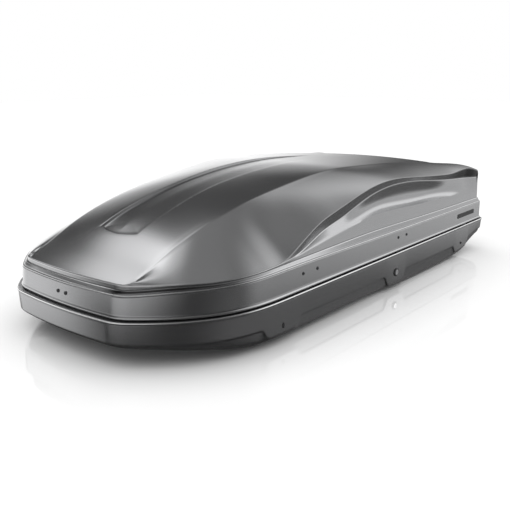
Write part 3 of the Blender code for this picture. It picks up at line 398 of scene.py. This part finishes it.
def lid_rows(pts, normal, counts, t):
    """Control rows from the bottom edge to the middle line: points, corner radius and the edge's tone.

    A tone above 0 is a painted highlight along an edge and one below 0 is painted shade. t > 0 is the inside
    face, that far in from the outside.
    """
    def at(inset, z, reach=0, tone=0):
        return row(pts, normal, inset, z), reach, tone

    x = pts[:, 0]
    wall = normal[:, 0] ** 2 * (x > 1.0)
    nose = even_out(normal[:, 0] ** 2 * (x < 0.5), 4)
    deep = ease(0.45, 0.66, x) * (1 - 0.75 * ease(1.62, 1.735, x))
    foot, top = ledge_top(x), skirt_top(x)
    edge = 0.008 + 0.007 * nose + 0.005 * wall
    skirt = 0.012 + 0.011 * nose + 0.005 * wall
    ledge = 0.0256 + 0.0135 * nose - 0.001 * wall
    if t:
        rows = [at(edge + 0.0035 + t, FLANGE_Z), at(skirt + t, top - 0.6 * t, 0.003),
                at(ledge + t, foot - 0.6 * t, 0.003)]
    else:
        band = foot - top
        # Mask for painted shade on the ledge round the nose corners, where the hood's shadow falls.
        shade = ease(0.14, 0.20, -pts[:, 1]) * (1 - ease(0.12, 0.42, x))
        # The last number of each row is its tone: painted highlights on the flange, skirt and ledge edges,
        # painted shade in the gaps between them.
        rows = [at(edge + 0.0045, FLANGE_Z, 0, -1), at(edge, FLANGE_Z, 0.0008, 0.2),
                at(edge, FLANGE_Z + 0.0034, 0.0010, 0.4), at(edge + 0.0032, 0.0098, 0.0012, -0.5),
                at(edge + 0.0036, 0.0145), at(skirt - 0.0002, top - 0.0042, 0.0012),
                at(skirt + 0.0016, top - 0.0030, 0.0008, -0.9), at(skirt + 0.0004, top - 0.0012, 0.0014, 0.35),
                at(skirt + 0.0026, top + 0.0012, 0.0014, 0.2), at(skirt + 0.0046, top + 0.0010, 0.0008, -0.9),
                at(skirt + 0.0056, top + 0.0032, 0.0010, 0.1 - 0.9 * shade),
                at(ledge - 0.0028, top + 0.80 * band, 0.0016, 0.25 - 1.15 * shade),
                at(ledge + 0.0006, top + 0.80 * band + 0.0004, 0.0008, -1)]
    step = 0.0004
    high = np.maximum(arch_high(x), foot + 3 * step) * (1 - wall) + 0.176 * wall
    low = np.maximum(arch_low(x), foot + 2 * step) * (1 - wall) + 0.148 * wall
    base = np.maximum(np.minimum(panel_foot(x), low - 0.004), foot + step) * (1 - wall) + 0.112 * wall
    for k in (high, low, base):
        even_out(k, 2)
    # Arch rows: a painted highlight on the arch's lower edge and painted shade on its upper edge.
    rows += [at(ledge + 0.0004 + 0.0030 * deep - 0.001 * wall + t, base - 0.4 * t, 0.008),
             at((ledge + 0.0007 + 0.0230 * deep) * (1 - wall) + 0.024 * wall + t, low - 0.5 * t, 0.0018, 0.4),
             at((ledge + 0.0010 + 0.0130 * deep) * (1 - wall) + 0.025 * wall + t, high - t, 0.0022, -0.25)]
    cx, cy = loop(pts, counts, 0.058, 1.722, lambda v: crease_y(v) - 0.5 * t, 0.012, 0.0)
    cx = cx + t * np.where(cx < 0.0581, 1, 0)
    rows += [(np.c_[cx, cy, roof(cx, cy) - 1.15 * t], 0.006 + 0.026 * ease(1.55, 1.71, cx), 0)]
    # Channel edges: a faint painted highlight on the outer one and painted shade on the sunk one.
    for grow, front, rear, sunk, tone in ((0.0, 0.214, 1.36, 0.0, 0.1), (-0.0070, 0.222, 1.35, 1.0, -0.4)):
        hx, hy = loop(pts, counts, front, rear, lambda v: channel_y(v) + grow + 0.4 * t, 0.014, 0.006)
        rows += [(np.c_[hx, hy, roof(hx, hy) - channel_depth(hx) * sunk - 1.15 * t], 0.0022, tone)]
    hx, hy = loop(pts, counts, 0.262, 1.31, lambda v: 0 * v, 0.0, 0.0)
    hx[:counts[0]] -= 0.020 * (1 - pts[:counts[0], 1] / pts[counts[0], 1])
    hx[-counts[2]:] += 0.020 * (1 - pts[-counts[2]:, 1] / pts[-counts[2] - 1, 1])
    rows += [(np.c_[hx, hy, roof(hx, hy) - channel_depth(hx) - 1.15 * t], 0, 0)]
    return rows


def round_rows(rows, arc_n):
    """Turn control rows into mesh rows (points, tone, control number), rounding each one that has a radius."""
    out = [(rows[0][0], rows[0][2], 0)]
    for k in range(1, len(rows) - 1):
        a, (b, reach, tone), c = rows[k - 1][0], rows[k], rows[k + 1][0]
        if np.all(reach == 0):
            out.append((b, tone, k))
            continue
        da = np.linalg.norm(a - b, axis=1, keepdims=True) + 1e-9
        dc = np.linalg.norm(c - b, axis=1, keepdims=True) + 1e-9
        pa = b + (a - b) / da * np.minimum(np.broadcast_to(reach, len(b))[:, None], 0.45 * da)
        pc = b + (c - b) / dc * np.minimum(np.broadcast_to(reach, len(b))[:, None], 0.45 * dc)
        for u in np.linspace(0, 1, arc_n + 1):
            out.append(((1 - u) ** 2 * pa + 2 * u * (1 - u) * b + u * u * pc, tone * 4 * u * (1 - u), k))
    out.append((rows[-1][0], rows[-1][2], len(rows) - 1))
    return out


def fill_between(rows, after, n, lift, shade=lambda p: 0):
    """Add n - 1 rows between control `after` and the next, moved off the straight line by lift(points, share),
    with shade(points) as their tone of painted shade.
    """
    k = max(i for i, r in enumerate(rows) if r[2] == after)
    a, b = rows[k][0], rows[k + 1][0]
    extra = [(lift(a * (1 - f) + b * f, f), shade(a), after + 0.5) for f in np.linspace(0, 1, n + 1)[1:-1]]
    return rows[:k + 1] + extra + rows[k + 1:]


def half_shell(name, inner, outer):
    """Quads over inner then outer rows on the lock side, doubled to the hinge side and welded in the middle."""
    rows = [(r, 0) for r, *_ in reversed(inner)] + [(r, tone) for r, tone, _ in outer]
    n, m = len(rows[0][0]), len(rows)
    for r, _ in rows:
        r[0, 1] = r[-1, 1] = 0.0
    grid = np.vstack([r for r, _ in rows]) + np.array([NOSE_X, 0, RIM_Z])
    painted_tones = np.concatenate([np.broadcast_to(tone, n) for _, tone in rows])
    faces = [(j * n + i, j * n + i + 1, (j + 1) * n + i + 1, (j + 1) * n + i)
             for j in range(m - 1) for i in range(n - 1)]
    faces += [tuple(len(grid) + k for k in reversed(f)) for f in faces]
    obj = mesh_object(name, np.vstack([grid, grid * np.array([1, -1, 1])]), faces)
    # The rows' tones go into a point attribute that the shell's material reads: painted highlight above 0,
    # painted shade below 0.
    painted_tone_layer = obj.data.attributes.new("edge_tone", "FLOAT", "POINT")
    painted_tone_layer.data.foreach_set("value", np.r_[painted_tones, painted_tones].astype(np.float32))
    shape = bmesh.new()
    shape.from_mesh(obj.data)
    bmesh.ops.remove_doubles(shape, verts=[v for v in shape.verts if abs(v.co.y) < 1e-6], dist=1e-6)
    bmesh.ops.recalc_face_normals(shape, faces=shape.faces)
    shape.to_mesh(obj.data)
    shape.free()
    obj.data.shade_smooth()
    return obj


def cut_boxes(obj, boxes):
    """Notch a shell with boxes given by their low and high corners."""
    verts, faces = [], []
    for lo, hi in boxes:
        n = len(verts)
        verts += [(x, y, z) for x in (lo[0], hi[0]) for y in (lo[1], hi[1]) for z in (lo[2], hi[2])]
        faces += [tuple(n + k for k in f) for f in ((0, 1, 3, 2), (4, 6, 7, 5), (0, 4, 5, 1), (2, 3, 7, 6),
                                                    (0, 2, 6, 4), (1, 5, 7, 3))]
    cutter = mesh_object("cutter", verts, faces, smooth=False)
    mod = obj.modifiers.new("notches", "BOOLEAN")
    mod.operation, mod.solver, mod.object = "DIFFERENCE", "EXACT", cutter
    evaluated = obj.evaluated_get(bpy.context.evaluated_depsgraph_get())
    cut_mesh = bpy.data.meshes.new_from_object(evaluated)
    obj.modifiers.clear()
    obj.data = cut_mesh
    bpy.data.objects.remove(cutter)


def crisp(obj, degrees=40):
    """Keep folds sharper than this looking sharp."""
    shape = bmesh.new()
    shape.from_mesh(obj.data)
    for edge in shape.edges:
        edge.smooth = len(edge.link_faces) == 2 and edge.calc_face_angle(0) < math.radians(degrees)
    for face in shape.faces:
        face.smooth = True
    shape.to_mesh(obj.data)
    shape.free()


def along_roof(p, f):
    q = p.copy()
    q[:, 2] = roof(q[:, 0], q[:, 1])
    return q


def flank(p, f):
    """Side face between the arch and the shoulder: a full, slightly convex sheet."""
    q = p.copy()
    q[:, 2] += (0.004 + 0.005 * ease(1.5, 1.7, p[:, 0])) * 4 * f * (1 - f)
    return q


def dish(p, f):
    """Recessed side panel: hollow under the arch, rolling out to its foot."""
    q = p.copy()
    hollow = 0.021 * ease(0.72, 1.00, p[:, 0]) * (1 - ease(1.30, 1.60, p[:, 0]))
    q[:, 1] += hollow * math.sin(math.pi * f ** 0.62)
    return q


def ledge_painted_shade(p):
    """Painted shade on the ledge round the nose corners, standing in for the hood's shadow there."""
    return -0.9 * ease(0.14, 0.20, np.abs(p[:, 1])) * (1 - ease(0.12, 0.42, p[:, 0]))


# Painted shade darkening the rear of the strip under the arch.
def strip_painted_shade(p):
    return -0.8 * ease(1.44, 1.60, p[:, 0]) * (1 - ease(1.72, 1.735, p[:, 0]))


def same(p, f):
    return p


pts, normal = rim_columns(*LID_COLUMNS)
outside = lid_rows(pts, normal, LID_COLUMNS, 0.0)
last = len(outside) - 1
LEDGE, PANEL, STRIP, FLANK, HOOD, CHANNEL = (last - k for k in (9, 6, 5, 4, 3, 1))
lid_outer = round_rows(outside, ARC_STEPS)
for control, count, lift in ((PANEL, 12, dish), (FLANK, 16, flank), (HOOD, 14, along_roof), (CHANNEL, 4, same)):
    lid_outer = fill_between(lid_outer, control, count, lift)
# The added ledge and strip rows carry painted shade.
lid_outer = fill_between(lid_outer, LEDGE, 6, same, ledge_painted_shade)
lid_outer = fill_between(lid_outer, STRIP, 6, same, strip_painted_shade)
INNER_PANEL, INNER_STRIP = 3, 4
lid_inner = [(points, 0, k) for k, (points, *_) in enumerate(lid_rows(pts, normal, LID_COLUMNS, SKIN))]
lid_inner = fill_between(lid_inner, INNER_STRIP, 8, flank)
lid_inner = fill_between(lid_inner, INNER_PANEL, 8, dish)
lid_shell = half_shell("lid_shell_formed", lid_inner, lid_outer)

notches = []
for number in (1, 2, 3):
    low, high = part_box(f"hinge_{number}_base_leaf")
    notches.append(((low.x - 0.003, 0.400, RIM_Z), (high.x + 0.003, 0.440, RIM_Z + 0.0145)))
cut_boxes(lid_shell, notches)
crisp(lid_shell)

titan = look("titan_plastic")
flake = titan.speckle(900.0, 2.0, 0.6)
cloud = titan.speckle(3.0, 2.0, 0.5)
grain = titan.speckle(1400.0, 2.0, 0.5)
# The edge tone attribute paints light and shade into the base colour: near white above 0 (painted highlights on
# edges and beads), near black below 0 (painted shade in gaps, on the nose-corner ledge and the rear of the arch
# strip).
edge = titan.node("ShaderNodeAttribute", {"attribute_name": "edge_tone"}, out="Fac")
highlight_paint = titan.node("ShaderNodeMath", {"operation": "MAXIMUM"}, {0: edge, 1: 0.0})
shade_paint = titan.node("ShaderNodeMath", {"operation": "MAXIMUM"}, {0: 0.0 - edge, 1: 0.0})
paint = titan.tint(flake, (0.34, 0.342, 0.348), (0.44, 0.442, 0.448))
paint = titan.mix(highlight_paint, paint, (0.95, 0.95, 0.95, 1))
paint = titan.mix(shade_paint, paint, (0.01, 0.01, 0.01, 1))
titan.surface(
    Base_Color=paint, Metallic=0.97, Roughness=titan.ramp(cloud, (0.3, 0.19), (0.7, 0.23)),
    Normal=titan.bump(grain, 0.02, 0.0001))
lid_shell.data.materials.clear()
lid_shell.data.materials.append(titan.owner)
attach(lid_shell, "lid")
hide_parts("lid_shell")

# ------------------------------------------------------------------ tray shell
# The lower half, formed from the same sheet: a rounded bead round the rim, a deep rim face that runs down into
# three latch pods, a lower wall and a flat floor with slots for the clamp claws.
TRAY_COLUMNS = (30, 300, 40)
# Latch pods along the side: distance of the middle from the nose, half length and depth.
PODS = ((0.410, 0.062, 0.028), (1.019, 0.050, 0.034), (1.535, 0.048, 0.026))
rim_low = spline((0, -0.061), (0.5, -0.065), (1.0, -0.068), (1.45, -0.070), (1.58, -0.062), (1.66, -0.045),
                 (1.75, -0.038))
wall_low = spline((0, -0.070), (0.12, -0.080), (0.30, -0.098), (0.48, -0.106), (0.9, -0.107), (1.02, -0.113),
                  (1.45, -0.115), (1.58, -0.100), (1.65, -0.078), (1.75, -0.052))
floor_z = spline((0.05, -0.078), (0.15, -0.096), (0.27, -0.116), (0.34, -0.1245), (0.36, -0.125),
                 (1.50, -0.125), (1.52, -0.1245), (1.60, -0.108), (1.70, -0.070))


def tray_rows(pts, normal, t):
    """Control rows of the tray from its inner lip to the middle of the floor, as for the lid."""
    def at(inset, z, reach=0, tone=0):
        return row(pts, normal, inset, z), reach, tone

    x = pts[:, 0]
    side = 1 - normal[:, 0] ** 2
    drop = sum(deep * ease(half + 0.022, half - 0.004, np.abs(x - centre)) for centre, half, deep in PODS)
    low = rim_low(x) - drop * ease(0.5, 0.9, side)
    bottom = np.minimum(np.minimum(wall_low(x), low - 0.006), -0.048)
    deep = np.maximum(np.minimum(floor_z(x), bottom - 0.004), -RIM_Z)
    bottom = np.maximum(bottom, deep + 0.003)
    if t:
        rows = [at(0.024 + t, 0.018), at(0.024 + t, -0.001 - t, 0.001), at(0.002 + t, -0.001 - t, 0.001)]
    else:
        # Rim rows: painted highlight on the top of the bead, painted shade in the groove under it.
        rows = [at(0.024, 0.018), at(0.024, -0.001, 0.001), at(0.0042, -0.0012, 0.0010),
                at(0.0028, 0.0002, 0.0014, 0.8), at(-0.0002, -0.0012, 0.0020, 1.0),
                at(0.0002, -0.0058, 0.0012, 0.3),
                at(0.0024, -0.0066, 0.0008, -0.9), at(0.0022, -0.0088, 0.0010, -0.4)]
    # The tone of -0.3 here is painted shade along the foot of the rim face.
    rows += [at(0.0045 + t, low + t, 0.005), at(0.009 + t, low - 0.003 + 1.2 * t, 0.003, -0.3),
             at(0.0145 + t, bottom + t, 0.010), at(0.054 + t, deep + t, 0.012)]
    plan = rows[-1][0]
    for f in (0.3, 0.65, 1.0):
        mid = plan.copy()
        mid[:, 1] *= 1 - f
        mid[:, 0] += f * (np.clip(plan[:, 0], 0.14, 1.60) - plan[:, 0])
        if f == 1.0:
            mid[:, 0] += 0.02 * (np.arange(len(mid)) / (len(mid) - 1) - 0.5)
        mid[:, 2] = np.maximum(np.minimum(floor_z(mid[:, 0]), deep), -RIM_Z) + t
        rows += [(mid, 0, 0)]
    return rows


pts, normal = rim_columns(*TRAY_COLUMNS)
tray = half_shell("base_shell_formed", tray_rows(pts, normal, SKIN),
                  round_rows(tray_rows(pts, normal, 0.0), ARC_STEPS))
CLAW_FLANK, CLAW_ROOM = 0.0205, 0.0025
openings = []
for number in (1, 2, 3, 4):
    low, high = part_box(f"clamp_{number}_claw")
    for a, b in ((low.x - CLAW_ROOM, low.x + CLAW_FLANK), (high.x - CLAW_FLANK, high.x + CLAW_ROOM)):
        openings.append(((a, low.y - 0.0015, -0.02), (b, high.y + 0.0015, 0.02)))
for number in (1, 2, 3):
    low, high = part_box(f"striker_{number}")
    mid = (low.x + high.x) / 2
    openings.append(((mid - 0.021, -0.4122, RIM_Z - 0.012), (mid + 0.021, -0.4054, RIM_Z + 0.004)))
low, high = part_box("lock_barrel")
openings.append(((low.x - 0.0005, -0.46, low.z - 0.0005), (high.x + 0.0005, -0.415, high.z + 0.0005)))
cut_boxes(tray, openings)
crisp(tray)
tray.data.materials.clear()
tray.data.materials.append(titan.owner)
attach(tray, "base")
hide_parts("base_shell")

# ------------------------------------------------------------------ screws
# Black-coated pan-head screws with a driver socket and a plain shank. Two pairs run through the skirt into the
# strikers, and one pair through the nose into its locating bracket.
enamel = look("black_steel")
worn = enamel.speckle(260.0, 3.0, 0.6)
enamel.surface(
    Base_Color=enamel.tint(enamel.ramp(worn, (0.62, 0.0), (0.74, 1.0)),
                           (0.030, 0.031, 0.034), (0.075, 0.076, 0.080)),
    Roughness=enamel.ramp(worn, (0.3, 0.30), (0.7, 0.46)),
    Normal=enamel.bump(enamel.speckle(900.0), 0.08, 0.0002))


class Grow:
    """A Geometry Nodes tree with named inputs, which ends in Realize Instances and Set Material."""

    def __init__(self, name, **sizes):
        self.tree = bpy.data.node_groups.new(name, "GeometryNodeTree")
        self.tree.interface.new_socket("Geometry", in_out="INPUT", socket_type="NodeSocketGeometry")
        for key, value in sizes.items():
            made = self.tree.interface.new_socket(
                key.replace("_", " "), in_out="INPUT", socket_type="NodeSocketFloat")
            made.default_value = value
        self.tree.interface.new_socket("Geometry", in_out="OUTPUT", socket_type="NodeSocketGeometry")
        self.given = self.tree.nodes.new("NodeGroupInput")

    def size(self, name):
        return self.given.outputs[name.replace("_", " ")]

    def node(self, kind, settings=None, inputs=None):
        made = self.tree.nodes.new(kind)
        for key, value in (settings or {}).items():
            setattr(made, key, value)
        for key, value in (inputs or {}).items():
            if isinstance(value, bpy.types.NodeSocket):
                self.tree.links.new(value, made.inputs[key])
            else:
                made.inputs[key].default_value = value
        return made.outputs

    def times(self, a, b):
        return self.node("ShaderNodeMath", {"operation": "MULTIPLY"}, {0: a, 1: b})[0]

    def up(self, mesh, z):
        shift = self.node("ShaderNodeCombineXYZ", inputs={"Z": z})[0]
        return self.node("GeometryNodeTransform", inputs={"Geometry": mesh, "Translation": shift})[0]

    def end(self, placed, material):
        real = self.node("GeometryNodeRealizeInstances", inputs={"Geometry": placed})[0]
        self.node("NodeGroupOutput", inputs={0: self.node("GeometryNodeSetMaterial", inputs={
            "Geometry": real, "Material": material})[0]})

    def make(self, name, seats, aims, **sizes):
        """One mesh with a copy at every seat, its +Z turned to the aim there."""
        obj = mesh_object(name, seats, [], smooth=False)
        aim_layer = obj.data.attributes.new("aim", "FLOAT_VECTOR", "POINT")
        aim_layer.data.foreach_set("vector", np.ravel(aims).astype(np.float32))
        mod = obj.modifiers.new(name, "NODES")
        mod.node_group = self.tree
        for item in self.tree.interface.items_tree:
            if item.in_out == "INPUT" and item.name.replace(" ", "_") in sizes:
                mod[item.identifier] = sizes[item.name.replace(" ", "_")]
        done = bpy.data.meshes.new_from_object(obj.evaluated_get(bpy.context.evaluated_depsgraph_get()))
        obj.modifiers.clear()
        obj.data = done
        crisp(obj)
        return obj


screw = Grow("pan_head_screw", Head_Radius=0.0050, Head_Height=0.0026, Shank_Radius=0.0020,
             Shank_Length=0.011)
foot_height = screw.times(screw.size("Head_Height"), 0.5)
head = screw.node("GeometryNodeMeshCylinder", inputs={
    "Vertices": 32, "Radius": screw.size("Head_Radius"), "Depth": foot_height})
body, face = screw.up(head["Mesh"], screw.times(foot_height, 0.5)), head["Top"]
for lift, shrink in ((0.35, 0.82), (0.15, 0.70), (0.0, 0.62), (-0.55, 0.9)):
    step = screw.node("GeometryNodeExtrudeMesh", inputs={
        "Mesh": body, "Selection": face, "Offset Scale": screw.times(screw.size("Head_Height"), lift)})
    body, face = step["Mesh"], step["Top"]
    body = screw.node("GeometryNodeScaleElements", inputs={
        "Geometry": body, "Selection": face, "Scale": shrink})[0]
shank = screw.node("GeometryNodeMeshCylinder", inputs={
    "Vertices": 16, "Radius": screw.size("Shank_Radius"), "Depth": screw.size("Shank_Length")})["Mesh"]
join = screw.node("GeometryNodeJoinGeometry")[0].node
screw.tree.links.new(body, join.inputs[0])
screw.tree.links.new(screw.up(shank, screw.times(screw.size("Shank_Length"), -0.499)), join.inputs[0])
aim = screw.node("GeometryNodeInputNamedAttribute", {"data_type": "FLOAT_VECTOR"},
                 {"Name": "aim"})["Attribute"]
turned = screw.node("FunctionNodeAlignRotationToVector", {"axis": "Z"}, {"Vector": aim})[0]
screw.end(screw.node("GeometryNodeInstanceOnPoints", inputs={
    "Points": screw.given.outputs[0], "Instance": join.outputs[0], "Rotation": turned})[0], enamel.owner)
HEAD_PROUD = 0.0022
for piece, nodes, across in (
        ("skirt_screws", ("skirt_screw_1a", "skirt_screw_1b", "skirt_screw_2a", "skirt_screw_2b"), 1),
        ("nose_screws", ("nose_screw_a", "nose_screw_b"), 0)):
    outward = (-1, 0, 0) if across == 0 else (0, -1, 0)
    seats = []
    for node in nodes:
        low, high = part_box(node)
        seat = (low + high) / 2
        seat[across] = low[across] + HEAD_PROUD
        seats.append(seat)
        reach = high[across] - seat[across]
    screws = screw.make(piece, seats, [outward] * len(seats), Shank_Length=reach)
    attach(screws, "lid")
    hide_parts(*nodes)


# ------------------------------------------------------------------ lock
# A round chromed lock barrel in a black moulded surround, set in the middle latch pod. Its cam pushes a flat
# zinc-plated bar along two plastic guides, and the bar's three hooks catch the strikers that hang from the lid.
def finish(coat, *nodes):
    for node in nodes:
        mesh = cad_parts[node].data
        mesh.materials.clear()
        mesh.materials.append(coat.owner)


chrome = look("bright_chrome")
smear = chrome.speckle(140.0, 3.0, 0.6)
chrome.surface(Base_Color=chrome.tint(smear, (0.80, 0.80, 0.82), (0.90, 0.90, 0.91)), Metallic=1.0,
               Roughness=chrome.ramp(smear, (0.35, 0.07), (0.7, 0.20)))
black = look("black_plastic")
pebble = black.speckle(1100.0, 2.0, 0.5)
black.surface(
    Base_Color=black.tint(black.speckle(25.0, 2.0), (0.024, 0.024, 0.026), (0.040, 0.040, 0.042)),
    Roughness=black.ramp(pebble, (0.3, 0.42), (0.7, 0.62)), Normal=black.bump(pebble, 0.25, 0.0003))
steel = look("zinc_steel")
streak = steel.speckle(90.0, 3.0, 0.6, stretch=(0.15, 1, 1))
spangle = steel.speckle(22.0, 2.0)
steel.surface(
    Base_Color=steel.tint(spangle, (0.44, 0.45, 0.48), (0.62, 0.63, 0.65)), Metallic=1.0,
    Roughness=steel.ramp(streak, (0.3, 0.26), (0.7, 0.44)), Normal=steel.bump(streak, 0.10, 0.0003))
finish(chrome, "lock_barrel")
finish(black, "lock_surround", "bar_guide_1", "bar_guide_2")
finish(steel, "lock_cam", "lock_bar", "lock_driver")
for number in (1, 2, 3):
    finish(steel, f"latch_hook_{number}", f"striker_{number}")

# ------------------------------------------------------------------ seal, plugs and name plate
# An extruded rubber seal pressed on the tray's inner lip, two push-in plugs in the outer pods, and a blank
# moulded plate on the skirt near the rear.
rubber = look("dark_rubber")
dust = rubber.speckle(35.0, 4.0, 0.6)
rubber.surface(
    Base_Color=rubber.tint(rubber.ramp(dust, (0.45, 0.0), (0.75, 1.0)),
                           (0.016, 0.016, 0.016), (0.050, 0.049, 0.047)),
    Roughness=rubber.ramp(dust, (0.3, 0.72), (0.7, 0.92)),
    Normal=rubber.bump(rubber.speckle(700.0), 0.2, 0.0003))
finish(rubber, "lid_seal")
finish(black, "pod_plug_front", "pod_plug_rear", "name_plate")

# ------------------------------------------------------------------ hinges and stiffeners
# Three zinc-plated leaf hinges on black pins along the far side, a plated locating bracket in the nose, and two
# pairs of stiffeners: plated rails along the tray floor and black bows across the lid.
finish(steel, "nose_locator", "base_rail_near", "base_rail_far")
for number in (1, 2, 3):
    finish(steel, f"hinge_{number}_base_leaf", f"hinge_{number}_lid_leaf")
    finish(enamel, f"hinge_{number}_pin")
finish(enamel, "lid_bow_front", "lid_bow_rear")

# ------------------------------------------------------------------ gas struts
# Two gas springs hold the lid open: a black enamelled tube on a pressed foot at the tray's edge, and a polished
# rod that reaches up to a bracket under the lid.
for which in ("front", "rear"):
    finish(steel, f"strut_{which}_foot", f"strut_{which}_lid_bracket")
    finish(enamel, f"strut_{which}_tube")
    finish(chrome, f"strut_{which}_rod")

# ------------------------------------------------------------------ roof-bar clamps
# Four screw clamps on the tray floor. A black moulded knob turns a threaded rod, and a black steel claw climbs
# it to grip the roof bar from below through slots in the floor.
for number in (1, 2, 3, 4):
    finish(steel, f"clamp_{number}_frame")
    finish(black, f"clamp_{number}_knob")
    finish(enamel, f"clamp_{number}_claw")
